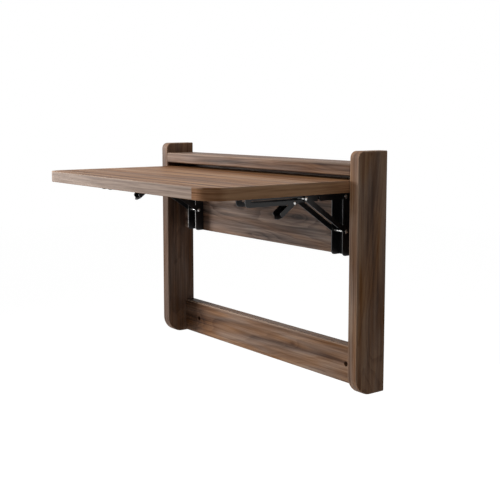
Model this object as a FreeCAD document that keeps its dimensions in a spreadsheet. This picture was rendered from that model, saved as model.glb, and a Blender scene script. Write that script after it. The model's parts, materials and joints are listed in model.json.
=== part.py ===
import FreeCAD, Part
import Sketcher
import os

# A wall mounted drop leaf table. X runs to the right, Y runs into the wall and Z runs up.
# The origin is the middle of the four wall screw holes, on the wall's face.

SIZES = {
    # the wooden frame
    "frame_width": 752,
    "board_thickness": 25,
    "upright_thickness": 27,
    "upright_depth": 80.5,
    "upright_height": 511.5,
    "upright_top_round": 15,
    "upright_foot_round": 42,
    "edge_ease": 2.5,
    "shelf_drop": 25.5,
    "bracket_rail_height": 177,
    "bottom_rail_height": 84,
    "bottom_rail_lift": 1.3,
    # the leaf
    "leaf_depth": 401,
    "leaf_gap": 10,
    "leaf_side_gap": 1,
    "leaf_back_gap": 2,
    "leaf_corner_round": 43,
    "leaf_edge_ease": 1.2,
    # the wall screw holes
    "wall_hole_radius": 2.75,
    "wall_bore_radius": 5.5,
    "wall_bore_depth": 8,
    "wall_hole_inset": 63,
    "upper_hole_drop": 17.8,
    # the dowels of the frame
    "dowel_radius": 4,
    "dowel_length_share": 0.96,
    "dowel_low_share": 0.2,
    "dowel_high_share": 0.8,
    "dowel_end_gap": 0.6,
    # the folding brackets
    "bracket_inset": 69,
    "pivot_standoff": 16.5,
    "pivot_drop": 13,
    "brace_drop": 75,
    "slide_start": 113,
    "slide_rise": 1.5,
    "rivet_reach": 139.5,
    "rivet_fall": 6.3,
    "leg_width": 36,
    "leg_steel": 1.8,
    "leg_depth": 25,
    "leg_height": 140,
    "leg_top_gap": 1,
    "leg_corner_round": 8,
    "leg_bend": 2.4,
    "arm_width": 31.6,
    "arm_steel": 1.8,
    "arm_back": 11,
    "arm_reach": 266,
    "arm_shallow": 6,
    "arm_deep": 9.5,
    "arm_step_start": 125,
    "arm_step_end": 135,
    "arm_back_round": 5.5,
    "arm_end_round": 9,
    "arm_bend": 2.4,
    "slot_half": 2.35,
    "slot_back_gap": 0.6,
    "slot_end_margin": 14,
    "notch_gap": 0.5,
    "bar_gap": 0.5,
    "bar_steel": 2,
    "bar_half": 5.5,
    "lever_width": 25.2,
    "lever_steel": 1.4,
    "lever_length": 42,
    "lever_half": 5.5,
    "lever_ear": 3.3,
    "lever_ear_round": 3.2,
    "lever_ear_end": 3,
    "lever_shoulder": 9,
    "lever_open_end": 7,
    "lever_tip_round": 4,
    "lever_tongue": 7,
    "lever_tongue_width": 8,
    "lever_tongue_round": 2,
    "lever_hang_angle": 36,
    # pins, rivets, springs and screws
    "corner_pin_radius": 3,
    "brace_pin_radius": 2.5,
    "slide_pin_radius": 2.1,
    "slide_pin_gap": 0.6,
    "rivet_radius": 1.8,
    "pin_head_radius": 4.2,
    "pin_head_height": 1.6,
    "pin_head_gap": 0.3,
    "rivet_head_radius": 3.6,
    "rivet_head_height": 1.5,
    "spring_wire": 1.1,
    "spring_end_gap": 0.5,
    "leg_screw_radius": 2,
    "leg_screw_length": 20,
    "leg_screw_first_share": 0.28,
    "leg_screw_second_share": 0.44,
    "leg_screw_third_share": 0.9,
    "arm_screw_radius": 1.9,
    "arm_screw_length": 16,
    "arm_screw_first": 30,
    "arm_screw_second": 92,
    "arm_screw_end_margin": 34,
    "screw_head_radius": 3.8,
    "screw_head_height": 1.9,
    "screw_tip_gap": 0.5,
    # clearances shared by the pieces
    "fit_gap": 0.05,
    "overrun": 2,
}

PLACES = {
    "inner_half": "Sizes.frame_width / 2 - Sizes.upright_thickness",
    "upright_x": "inner_half + Sizes.upright_thickness / 2",
    "lower_hole_lift": "Sizes.bottom_rail_lift + Sizes.bottom_rail_height / 2",
    "shelf_lift": "Sizes.upright_height - Sizes.shelf_drop - Sizes.board_thickness",
    "upper_hole_lift": "shelf_lift - Sizes.upper_hole_drop",
    "feet_z": "-(lower_hole_lift + upper_hole_lift) / 2",
    "hole_half_z": "(upper_hole_lift - lower_hole_lift) / 2",
    "hole_x": "inner_half - Sizes.wall_hole_inset",
    "shelf_z": "feet_z + shelf_lift",
    "bottom_rail_z": "feet_z + Sizes.bottom_rail_lift",
    "bracket_rail_z": "shelf_z - Sizes.bracket_rail_height",
    "leaf_z": "shelf_z - Sizes.leaf_gap - Sizes.board_thickness",
    "leaf_half": "inner_half - Sizes.leaf_side_gap",
    "leaf_back_y": "-Sizes.board_thickness - Sizes.leaf_back_gap",
    "leaf_front_y": "leaf_back_y - Sizes.leaf_depth",
    "dowel_half": "Sizes.upright_thickness * Sizes.dowel_length_share / 2",
    "bracket_x": "inner_half - Sizes.bracket_inset",
    "corner_y": "-Sizes.board_thickness - Sizes.pivot_standoff",
    "corner_z": "leaf_z - Sizes.pivot_drop",
    "brace_z": "corner_z - Sizes.brace_drop",
    "slide_y": "corner_y - Sizes.slide_start",
    "slide_z": "corner_z + Sizes.slide_rise",
    "rivet_y": "corner_y - Sizes.rivet_reach",
    "rivet_z": "corner_z - Sizes.rivet_fall",
    "brace_up": "Sizes.brace_drop + Sizes.slide_rise",
    "brace_length": "sqrt(Sizes.slide_start ^ 2 + brace_up ^ 2)",
    "brace_lean": "atan2(Sizes.slide_start; brace_up)",
    "lever_lean": "(90 + Sizes.lever_hang_angle) * 1 deg",
    "leg_front": "Sizes.pivot_standoff - Sizes.leg_depth",
    "leg_web": "Sizes.pivot_standoff - Sizes.leg_steel",
    "leg_top": "Sizes.pivot_drop - Sizes.leg_top_gap",
    "leg_foot": "leg_top - Sizes.leg_height",
    "arm_web": "Sizes.pivot_drop - Sizes.arm_steel",
    "slot_reach": "Sizes.arm_reach - Sizes.slot_end_margin",
    "arm_screw_third": "Sizes.arm_reach - Sizes.arm_screw_end_margin",
    "bar_inside": "Sizes.leg_width / 2 + Sizes.bar_gap",
    "bar_middle": "bar_inside + Sizes.bar_steel / 2",
    "bar_outside": "bar_inside + Sizes.bar_steel",
}

UPRIGHT = FreeCAD.Vector(0, 0, 1)
ALONG_X = FreeCAD.Vector(1, 0, 0)
ALONG_Y = FreeCAD.Vector(0, 1, 0)
TURNS = {
    "+x": FreeCAD.Rotation(ALONG_Y, 90),
    "-x": FreeCAD.Rotation(ALONG_Y, -90),
    "+y": FreeCAD.Rotation(ALONG_X, -90),
    "-y": FreeCAD.Rotation(ALONG_X, 90),
    "+z": FreeCAD.Rotation(ALONG_X, 0),
    "-z": FreeCAD.Rotation(ALONG_X, 180),
}
SIDES = {"left": -1, "right": 1}
NEAR = 1e-5

doc = FreeCAD.newDocument("DropLeafTable")
nodes = []


def fill_sheet(name, rows, lead):
    sheet = doc.addObject("Spreadsheet::Sheet", name)
    for row, (alias, content) in enumerate(rows.items(), start=1):
        sheet.set("A%d" % row, alias)
        sheet.set("B%d" % row, lead + str(content))
        sheet.setAlias("B%d" % row, alias)
        doc.recompute()
    return sheet


sizes = fill_sheet("Sizes", SIZES, "")
places = fill_sheet("Places", PLACES, "=")


def value(expression):
    result = sizes.evalExpression(expression)
    return float(getattr(result, "Value", result))


def put(item, at):
    for letter, expression in zip("xyz", at):
        item.setExpression("Placement.Base." + letter, expression)


def keep(item, label):
    item.Label = label
    nodes.append(item)
    return item


# Bodies built from sketches

def new_body(label, at, lean=None):
    body = doc.addObject("PartDesign::Body", label)
    body.Placement = FreeCAD.Placement(FreeCAD.Vector(), FreeCAD.Rotation(ALONG_X, 0))
    put(body, at)
    if lean:
        body.setExpression("Placement.Rotation.Angle", lean)
    return keep(body, label)


def new_sketch(body, role, offset=None):
    sketch = body.newObject("Sketcher::SketchObject", "Outline")
    plane = [item for item in body.Origin.OriginFeatures if item.Role == role][0]
    sketch.AttachmentSupport = [(plane, "")]
    sketch.MapMode = "FlatFace"
    if offset:
        sketch.setExpression("AttachmentOffset.Base.z", offset)
    return sketch


def fix(sketch, kind, geometry, expression, vertex=None):
    where = (geometry,) if vertex is None else (geometry, vertex)
    index = sketch.addConstraint(Sketcher.Constraint(kind, *where, value(expression)))
    sketch.setExpression("Constraints[%d]" % index, expression)


def pin_down(sketch, geometry, vertex, point):
    fix(sketch, "DistanceX", geometry, point[0], vertex)
    fix(sketch, "DistanceY", geometry, point[1], vertex)


def spot(point):
    return FreeCAD.Vector(value(point[0]), value(point[1]), 0)


def polygon(sketch, points):
    count = len(points)
    for index in range(count):
        start = spot(points[index])
        end = spot(points[(index + 1) % count])
        sketch.addGeometry(Part.LineSegment(start, end), False)
    for index in range(count):
        sketch.addConstraint(Sketcher.Constraint("Coincident", index, 2, (index + 1) % count, 1))
    for index, point in enumerate(points):
        pin_down(sketch, index, 1, point)
    return sketch


def rectangle(sketch, left, right, low, high):
    return polygon(sketch, [(left, low), (right, low), (right, high), (left, high)])


def circles(sketch, radius, centres):
    for centre in centres:
        index = sketch.addGeometry(Part.Circle(spot(centre), UPRIGHT, value(radius)), False)
        pin_down(sketch, index, 3, centre)
        fix(sketch, "Radius", index, radius)
    return sketch


def rounded_strip(sketch, first, last, radius):
    # a strip with two round ends, drawn from the first end's middle to the last end's middle
    start = spot(first)
    end = spot(last)
    along = (end - start).normalize()
    across = UPRIGHT.cross(along) * value(radius)
    reach = along * value(radius)
    arcs = [
        Part.Arc(start + across, start - reach, start - across),
        Part.Arc(end - across, end + reach, end + across),
    ]
    sketch.addGeometry(arcs[0], False)
    sketch.addGeometry(Part.LineSegment(start - across, end - across), False)
    sketch.addGeometry(arcs[1], False)
    sketch.addGeometry(Part.LineSegment(end + across, start + across), False)
    for index in range(4):
        sketch.addConstraint(Sketcher.Constraint("Tangent", index, 2, (index + 1) % 4, 1))
    sketch.addConstraint(Sketcher.Constraint("Equal", 0, 2))
    pin_down(sketch, 0, 3, first)
    pin_down(sketch, 2, 3, last)
    fix(sketch, "Radius", 0, radius)
    return sketch


def thicken(body, kind, sketch, length, both_ways=False, turned=False):
    feature = body.newObject("PartDesign::" + kind, kind)
    feature.Profile = sketch
    feature.setExpression("Length", length)
    feature.SideType = "Symmetric" if both_ways else "One side"
    feature.Reversed = turned
    sketch.Visibility = False
    doc.recompute()
    return feature


def round_edges(body, radius, wanted):
    base = body.Tip
    picked = []
    for index, edge in enumerate(base.Shape.Edges, start=1):
        if wanted(edge):
            picked.append("Edge%d" % index)
    feature = body.newObject("PartDesign::Fillet", "Round")
    feature.Base = (base, picked)
    feature.setExpression("Radius", radius)
    doc.recompute()


def runs_along(edge, letter):
    box = edge.BoundBox
    lengths = {"x": box.XLength, "y": box.YLength, "z": box.ZLength}
    return all(length < NEAR for key, length in lengths.items() if key != letter)


def close(first, expression):
    return abs(first - value(expression)) < NEAR


# Turned pieces built from primitives

def rod(radius, length, way, at):
    item = doc.addObject("Part::Cylinder", "Rod")
    item.Placement = FreeCAD.Placement(FreeCAD.Vector(), TURNS[way])
    item.setExpression("Radius", radius)
    item.setExpression("Height", length)
    put(item, at)
    return item


def dome(radius, height, way, at):
    # a slice of a ball, flat side at the given place and round side facing the given way
    ball = "((%s) ^ 2 + (%s) ^ 2) / (2 * (%s))" % (radius, height, height)
    back = "(%s - (%s))" % (ball, height)
    item = doc.addObject("Part::Sphere", "Dome")
    item.Placement = FreeCAD.Placement(FreeCAD.Vector(), TURNS[way])
    item.setExpression("Radius", ball)
    item.setExpression("Angle1", "asin(%s / (%s))" % (back, ball))
    middle = list(at)
    letter = "xyz".index(way[1])
    middle[letter] = "%s %s %s" % (at[letter], "-" if way[0] == "+" else "+", back)
    put(item, middle)
    return item


def joined(items):
    item = doc.addObject("Part::MultiFuse", "Joined")
    item.Shapes = items
    return item


def grouped(items, label):
    item = doc.addObject("Part::Compound", label)
    item.Links = items
    return keep(item, label)


def headed_pin(label, radius, half, head, at):
    head_radius, head_height = head
    ends = ["%s - (%s)" % (at[0], half), "%s + (%s)" % (at[0], half)]
    pieces = [
        rod(radius, "2 * (%s)" % half, "+x", (ends[0], at[1], at[2])),
        dome(head_radius, head_height, "-x", (ends[0], at[1], at[2])),
        dome(head_radius, head_height, "+x", (ends[1], at[1], at[2])),
    ]
    return keep(joined(pieces), label)


def screw(radius, length, way, at):
    head_way = ("-" if way[0] == "+" else "+") + way[1]
    head = dome("Sizes.screw_head_radius", "Sizes.screw_head_height", head_way, at)
    return joined([rod(radius, length, way, at), head])


# The wooden frame

def dowel_spots(low, height):
    shares = ("Sizes.dowel_low_share", "Sizes.dowel_high_share")
    return ["%s + %s * %s" % (low, height, share) for share in shares]


shelf_dowel_ys = dowel_spots("-Sizes.upright_depth", "Sizes.upright_depth")
shelf_dowel_z = "Places.shelf_z + Sizes.board_thickness / 2"
rail_dowel_y = "-Sizes.board_thickness / 2"
bracket_rail_dowel_zs = dowel_spots("Places.bracket_rail_z", "Sizes.bracket_rail_height")
bottom_rail_dowel_zs = dowel_spots("Places.bottom_rail_z", "Sizes.bottom_rail_height")
dowel_points = [(y, shelf_dowel_z) for y in shelf_dowel_ys]
dowel_points += [(rail_dowel_y, z) for z in bracket_rail_dowel_zs + bottom_rail_dowel_zs]
dowel_hole = "Sizes.dowel_radius + Sizes.fit_gap"


def bore_dowels(body, ys_and_zs):
    depth = "Places.dowel_half + Sizes.dowel_end_gap"
    for offset, turned in (("Places.inner_half", False), ("-Places.inner_half", True)):
        sketch = circles(new_sketch(body, "YZ_Plane", offset), dowel_hole, ys_and_zs)
        thicken(body, "Pocket", sketch, depth, turned=turned)


for side, sign in SIDES.items():
    upright = new_body(side + "_upright", ("%d * Places.upright_x" % sign, "0", "Places.feet_z"))
    outline = rectangle(new_sketch(upright, "YZ_Plane"), "-Sizes.upright_depth", "0",
                        "0", "Sizes.upright_height")
    thicken(upright, "Pad", outline, "Sizes.upright_thickness", both_ways=True)
    round_edges(upright, "Sizes.upright_top_round", lambda edge: (
        runs_along(edge, "x")
        and close(edge.CenterOfMass.y, "-Sizes.upright_depth")
        and close(edge.CenterOfMass.z, "Sizes.upright_height")))
    round_edges(upright, "Sizes.upright_foot_round", lambda edge: (
        runs_along(edge, "x")
        and close(edge.CenterOfMass.y, "-Sizes.upright_depth")
        and close(edge.CenterOfMass.z, "0")))
    round_edges(upright, "Sizes.edge_ease", lambda edge: (
        not runs_along(edge, "x") and not close(edge.CenterOfMass.y, "0")))
    holes = circles(new_sketch(upright, "YZ_Plane"), dowel_hole,
                    [(y, "%s - Places.feet_z" % z) for y, z in dowel_points])
    thicken(upright, "Pocket", holes, "Sizes.upright_thickness / 2 + Sizes.overrun", turned=sign < 0)

shelf = new_body("top_shelf", ("0", "0", "Places.shelf_z"))
outline = rectangle(new_sketch(shelf, "XY_Plane"), "-Places.inner_half", "Places.inner_half",
                    "-Sizes.upright_depth", "0")
thicken(shelf, "Pad", outline, "Sizes.board_thickness")
round_edges(shelf, "Sizes.edge_ease", lambda edge: (
    runs_along(edge, "x") and close(edge.CenterOfMass.y, "-Sizes.upright_depth")))
bore_dowels(shelf, [(y, "Sizes.board_thickness / 2") for y in shelf_dowel_ys])


def new_rail(label, foot, height, bare_edges, dowel_zs, hole_z, screw_points):
    rail = new_body(label, ("0", "0", foot))
    outline = rectangle(new_sketch(rail, "XZ_Plane"), "-Places.inner_half", "Places.inner_half",
                        "0", height)
    thicken(rail, "Pad", outline, "Sizes.board_thickness")
    round_edges(rail, "Sizes.edge_ease", lambda edge: (
        runs_along(edge, "x")
        and close(edge.CenterOfMass.y, "-Sizes.board_thickness")
        and any(close(edge.CenterOfMass.z, z) for z in bare_edges)))
    bore_dowels(rail, [(rail_dowel_y, "%s - %s" % (z, foot)) for z in dowel_zs])
    wall_points = [("%d * Places.hole_x" % sign, "%s - %s" % (hole_z, foot)) for sign in SIDES.values()]
    holes = circles(new_sketch(rail, "XZ_Plane"), "Sizes.wall_hole_radius", wall_points)
    thicken(rail, "Pocket", holes, "Sizes.board_thickness + Sizes.overrun", turned=True)
    bores = circles(new_sketch(rail, "XZ_Plane", "Sizes.board_thickness"),
                    "Sizes.wall_bore_radius", wall_points)
    thicken(rail, "Pocket", bores, "Sizes.wall_bore_depth")
    if screw_points:
        pilots = circles(new_sketch(rail, "XZ_Plane", "Sizes.board_thickness"),
                         "Sizes.leg_screw_radius + Sizes.fit_gap", screw_points)
        thicken(rail, "Pocket", pilots, "Sizes.leg_screw_length - Sizes.leg_steel + Sizes.screw_tip_gap")


leg_screw_zs = [
    "Places.leg_top - Sizes.leg_height * Sizes.leg_screw_%s_share" % which
    for which in ("first", "second", "third")]
leg_screw_points = [
    ("%d * Places.bracket_x" % sign, "Places.corner_z + %s - Places.bracket_rail_z" % z)
    for sign in SIDES.values() for z in leg_screw_zs]
new_rail("bracket_rail", "Places.bracket_rail_z", "Sizes.bracket_rail_height", ["0"],
         bracket_rail_dowel_zs, "Places.hole_half_z", leg_screw_points)
new_rail("bottom_rail", "Places.bottom_rail_z", "Sizes.bottom_rail_height", ["0", "Sizes.bottom_rail_height"],
         bottom_rail_dowel_zs, "-Places.hole_half_z", [])

dowels = []
for sign in SIDES.values():
    for y, z in dowel_points:
        start = "%d * Places.inner_half - Places.dowel_half" % sign
        dowels.append(rod("Sizes.dowel_radius", "2 * Places.dowel_half", "+x", (start, y, z)))
grouped(dowels, "frame_dowels")

# The leaf

arm_screw_reaches = ["Sizes.arm_screw_first", "Sizes.arm_screw_second", "Places.arm_screw_third"]
leaf = new_body("leaf", ("0", "0", "Places.leaf_z"))
outline = rectangle(new_sketch(leaf, "XY_Plane"), "-Places.leaf_half", "Places.leaf_half",
                    "Places.leaf_front_y", "Places.leaf_back_y")
thicken(leaf, "Pad", outline, "Sizes.board_thickness")
round_edges(leaf, "Sizes.leaf_corner_round", lambda edge: (
    runs_along(edge, "z") and close(edge.CenterOfMass.y, "Places.leaf_front_y")))
round_edges(leaf, "Sizes.leaf_edge_ease", lambda edge: (
    not runs_along(edge, "z")
    and edge.BoundBox.ZLength < NEAR
    and not close(edge.CenterOfMass.y, "Places.leaf_back_y")))
pilots = circles(new_sketch(leaf, "XY_Plane"), "Sizes.arm_screw_radius + Sizes.fit_gap", [
    ("%d * Places.bracket_x" % sign, "Places.corner_y - " + reach)
    for sign in SIDES.values() for reach in arm_screw_reaches])
thicken(leaf, "Pocket", pilots, "Sizes.arm_screw_length - Sizes.arm_steel + Sizes.screw_tip_gap",
        turned=True)

# The two folding brackets, the same on both sides but for their place

pin_head = ("Sizes.pin_head_radius", "Sizes.pin_head_height")
rivet_head = ("Sizes.rivet_head_radius", "Sizes.rivet_head_height")


def bore_across(body, radius, centres, width):
    holes = circles(new_sketch(body, "YZ_Plane"), radius + " + Sizes.fit_gap", centres)
    thicken(body, "Pocket", holes, width + " + 2 * Sizes.overrun", both_ways=True)


def corner_edges(y, z):
    return lambda edge: (
        runs_along(edge, "x") and close(edge.CenterOfMass.y, y) and close(edge.CenterOfMass.z, z))


def bend_edges(way, half_width, letter, level):
    # the two outer edges where a channel's sheet is bent, which run one way at one level
    return lambda edge: (
        runs_along(edge, way)
        and close(abs(edge.CenterOfMass.x), half_width)
        and close(getattr(edge.CenterOfMass, letter), level))


for side, sign in SIDES.items():
    middle = "%d * Places.bracket_x" % sign
    corner = (middle, "Places.corner_y", "Places.corner_z")
    brace_foot = (middle, "Places.corner_y", "Places.brace_z")
    slide = (middle, "Places.slide_y", "Places.slide_z")
    hang = (middle, "Places.rivet_y", "Places.rivet_z")

    # the wall leg is a channel with its open side to the front
    leg = new_body(side + "_wall_leg", corner)
    outline = rectangle(new_sketch(leg, "YZ_Plane"), "Places.leg_front", "Sizes.pivot_standoff",
                        "Places.leg_foot", "Places.leg_top")
    thicken(leg, "Pad", outline, "Sizes.leg_width", both_ways=True)
    for z in ("Places.leg_foot", "Places.leg_top"):
        round_edges(leg, "Sizes.leg_corner_round", corner_edges("Places.leg_front", z))
    hollow = rectangle(new_sketch(leg, "YZ_Plane"), "Places.leg_front - Sizes.overrun", "Places.leg_web",
                       "Places.leg_foot - Sizes.overrun", "Places.leg_top + Sizes.overrun")
    thicken(leg, "Pocket", hollow, "Sizes.leg_width - 2 * Sizes.leg_steel", both_ways=True)
    round_edges(leg, "Sizes.leg_bend", bend_edges("z", "Sizes.leg_width / 2", "y", "Sizes.pivot_standoff"))
    bore_across(leg, "Sizes.corner_pin_radius", [("0", "0")], "Sizes.leg_width")
    bore_across(leg, "Sizes.brace_pin_radius", [("0", "-Sizes.brace_drop")], "Sizes.leg_width")
    holes = circles(new_sketch(leg, "XZ_Plane"), "Sizes.leg_screw_radius + Sizes.fit_gap",
                    [("0", z) for z in leg_screw_zs])
    thicken(leg, "Pocket", holes, "Sizes.pivot_standoff + Sizes.overrun")
    grouped([
        screw("Sizes.leg_screw_radius", "Sizes.leg_screw_length", "+y",
              (middle, "Places.corner_y + Places.leg_web", "Places.corner_z + " + z))
        for z in leg_screw_zs], side + "_leg_screws")

    headed_pin(side + "_corner_pin", "Sizes.corner_pin_radius", "Sizes.leg_width / 2", pin_head, corner)
    headed_pin(side + "_brace_pin", "Sizes.brace_pin_radius",
               "Places.bar_outside + Sizes.pin_head_gap", pin_head, brace_foot)

    # the table arm is a channel with its open side down, slotted along both flanges
    arm = new_body(side + "_table_arm", corner)
    outline = polygon(new_sketch(arm, "YZ_Plane"), [
        ("Sizes.arm_back", "-Sizes.arm_shallow"),
        ("Sizes.arm_back", "Sizes.pivot_drop"),
        ("-Sizes.arm_reach", "Sizes.pivot_drop"),
        ("-Sizes.arm_reach", "-Sizes.arm_deep"),
        ("-Sizes.arm_step_end", "-Sizes.arm_deep"),
        ("-Sizes.arm_step_start", "-Sizes.arm_shallow")])
    thicken(arm, "Pad", outline, "Sizes.arm_width", both_ways=True)
    round_edges(arm, "Sizes.arm_back_round", corner_edges("Sizes.arm_back", "-Sizes.arm_shallow"))
    round_edges(arm, "Sizes.arm_end_round", corner_edges("-Sizes.arm_reach", "-Sizes.arm_deep"))
    hollow = rectangle(new_sketch(arm, "YZ_Plane"), "-Sizes.arm_reach - Sizes.overrun",
                       "Sizes.arm_back + Sizes.overrun",
                       "-Sizes.arm_deep - Sizes.overrun", "Places.arm_web")
    thicken(arm, "Pocket", hollow, "Sizes.arm_width - 2 * Sizes.arm_steel", both_ways=True)
    round_edges(arm, "Sizes.arm_bend", bend_edges("y", "Sizes.arm_width / 2", "z", "Sizes.pivot_drop"))
    slot = rounded_strip(new_sketch(arm, "YZ_Plane"),
                         ("Sizes.slot_back_gap - Sizes.slide_start", "Sizes.slide_rise"),
                         ("Sizes.slot_half - Places.slot_reach", "Sizes.slide_rise"), "Sizes.slot_half")
    thicken(arm, "Pocket", slot, "Sizes.arm_width + 2 * Sizes.overrun", both_ways=True)
    # the folded arm comes down over the brace pin, which its notches let in
    notch = rounded_strip(new_sketch(arm, "YZ_Plane"), ("-Sizes.brace_drop", "0"),
                          ("-Sizes.brace_drop", "-Sizes.arm_deep - Sizes.overrun"),
                          "Sizes.brace_pin_radius + Sizes.notch_gap")
    thicken(arm, "Pocket", notch, "Sizes.arm_width + 2 * Sizes.overrun", both_ways=True)
    bore_across(arm, "Sizes.corner_pin_radius", [("0", "0")], "Sizes.arm_width")
    bore_across(arm, "Sizes.rivet_radius", [("-Sizes.rivet_reach", "-Sizes.rivet_fall")], "Sizes.arm_width")
    holes = circles(new_sketch(arm, "XY_Plane"), "Sizes.arm_screw_radius + Sizes.fit_gap",
                    [("0", "-" + reach) for reach in arm_screw_reaches])
    thicken(arm, "Pocket", holes, "Sizes.pivot_drop + Sizes.overrun", turned=True)
    grouped([
        screw("Sizes.arm_screw_radius", "Sizes.arm_screw_length", "+z",
              (middle, "Places.corner_y - " + reach, "Places.corner_z + Places.arm_web"))
        for reach in arm_screw_reaches], side + "_arm_screws")

    # the brace is a pair of flat bars, one on each side of the leg and the arm
    for place, toward in (("outer", sign), ("inner", -sign)):
        bar_x = "%s + %d * Places.bar_middle" % (middle, toward)
        bar = new_body("%s_%s_brace_bar" % (side, place), (bar_x,) + brace_foot[1:], "Places.brace_lean")
        outline = rounded_strip(new_sketch(bar, "YZ_Plane"), ("0", "0"), ("0", "Places.brace_length"),
                                "Sizes.bar_half")
        thicken(bar, "Pad", outline, "Sizes.bar_steel", both_ways=True)
        bore_across(bar, "Sizes.brace_pin_radius", [("0", "0")], "Sizes.bar_steel")
        bore_across(bar, "Sizes.slide_pin_radius", [("0", "Places.brace_length")], "Sizes.bar_steel")
    caps = []
    for way, start in (("-x", "-"), ("+x", "+")):
        inside = "%s %s Places.bar_inside" % (middle, start)
        outside = "%s %s Places.bar_outside" % (middle, start)
        caps.append(joined([
            rod("Sizes.slide_pin_radius", "Sizes.bar_steel", way, (inside,) + slide[1:]),
            dome("Sizes.pin_head_radius", "Sizes.pin_head_height", way, (outside,) + slide[1:])]))
    grouped(caps, side + "_slide_pin_caps")

    # the slide pin runs in the arm's slots
    pin_half = "(Places.bar_inside - Sizes.slide_pin_gap)"
    keep(rod("Sizes.slide_pin_radius", "2 * " + pin_half, "+x",
             ("%s - %s" % (middle, pin_half),) + slide[1:]), side + "_slide_pin")

    # the release lever is a narrow channel that hangs on its rivet inside the arm and ends in a tongue,
    # which tapers from the channel's width
    lever = new_body(side + "_release_lever", hang, "Places.lever_lean")
    tongue_end = "(Sizes.lever_length + Sizes.lever_tongue)"
    outline = polygon(new_sketch(lever, "YZ_Plane"), [
        ("-Sizes.lever_half", "-Sizes.lever_ear"),
        ("Sizes.lever_ear", "-Sizes.lever_ear"),
        ("Sizes.lever_ear", "Sizes.lever_ear_end"),
        ("Sizes.lever_half", "Sizes.lever_shoulder"),
        ("Sizes.lever_half", "Sizes.lever_length"),
        ("Sizes.lever_steel - Sizes.lever_half", "Sizes.lever_length"),
        ("Sizes.lever_steel - Sizes.lever_half", tongue_end),
        ("-Sizes.lever_half", tongue_end)])
    thicken(lever, "Pad", outline, "Sizes.lever_width", both_ways=True)
    for y in ("-Sizes.lever_half", "Sizes.lever_ear"):
        round_edges(lever, "Sizes.lever_ear_round", corner_edges(y, "-Sizes.lever_ear"))
    round_edges(lever, "Sizes.lever_tip_round", corner_edges("Sizes.lever_half", "Sizes.lever_length"))
    for way in ("-", ""):
        beside = polygon(new_sketch(lever, "XZ_Plane"), [
            (way + "Sizes.lever_width / 2", "Sizes.lever_length"),
            (way + "(Sizes.lever_width / 2 + Sizes.overrun)", "Sizes.lever_length"),
            (way + "(Sizes.lever_width / 2 + Sizes.overrun)", tongue_end + " + Sizes.overrun"),
            (way + "Sizes.lever_tongue_width / 2", tongue_end + " + Sizes.overrun"),
            (way + "Sizes.lever_tongue_width / 2", tongue_end)])
        thicken(lever, "Pocket", beside, "2 * Sizes.lever_half + 2 * Sizes.overrun", both_ways=True)
    round_edges(lever, "Sizes.lever_tongue_round", lambda edge: (
        runs_along(edge, "y") and close(edge.CenterOfMass.z, tongue_end)))
    plate_gap = "Sizes.lever_width - 2 * Sizes.lever_steel"
    for low, high in (("Sizes.lever_steel - Sizes.lever_half", "Sizes.lever_length + Sizes.overrun"),
                      ("-Sizes.lever_half - Sizes.overrun", "Sizes.lever_open_end")):
        hollow = rectangle(new_sketch(lever, "YZ_Plane"), low, "Sizes.lever_half + Sizes.overrun",
                           "-Sizes.lever_ear - Sizes.overrun", high)
        thicken(lever, "Pocket", hollow, plate_gap, both_ways=True)
    bore_across(lever, "Sizes.rivet_radius", [("0", "0")], "Sizes.lever_width")

    headed_pin(side + "_lever_rivet", "Sizes.rivet_radius", "Sizes.arm_width / 2", rivet_head, hang)

    # the lever's spring is a coil wound on the rivet, drawn as the sleeve that it fills
    spring_half = "((%s) / 2 - Sizes.spring_end_gap)" % plate_gap
    spring_at = ("%s - %s" % (middle, spring_half),) + hang[1:]
    sleeve = doc.addObject("Part::Cut", "Sleeve")
    bore = "Sizes.rivet_radius + Sizes.fit_gap"
    sleeve.Base = rod(bore + " + Sizes.spring_wire", "2 * " + spring_half, "+x", spring_at)
    sleeve.Tool = rod(bore, "2 * " + spring_half, "+x", spring_at)
    keep(sleeve, side + "_lever_spring")

doc.recompute()

for item in doc.Objects:
    if "Invalid" in item.State or "Error" in item.State:
        raise RuntimeError("not built: " + item.Label)
os.makedirs("parts", exist_ok=True)
for node in nodes:
    if node.Shape.isNull() or not node.Shape.isValid():
        raise RuntimeError("no sound shape: " + node.Label)
    node.Shape.exportStep("parts/%s.step" % node.Label)
    box = node.Shape.BoundBox
    print("%-24s %2d solid  x %8.2f %8.2f  y %8.2f %8.2f  z %8.2f %8.2f  vol %10.1f" % (
        node.Label, len(node.Shape.Solids), box.XMin, box.XMax, box.YMin, box.YMax,
        box.ZMin, box.ZMax, node.Shape.Volume))
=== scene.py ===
# %% [markdown]
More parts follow.
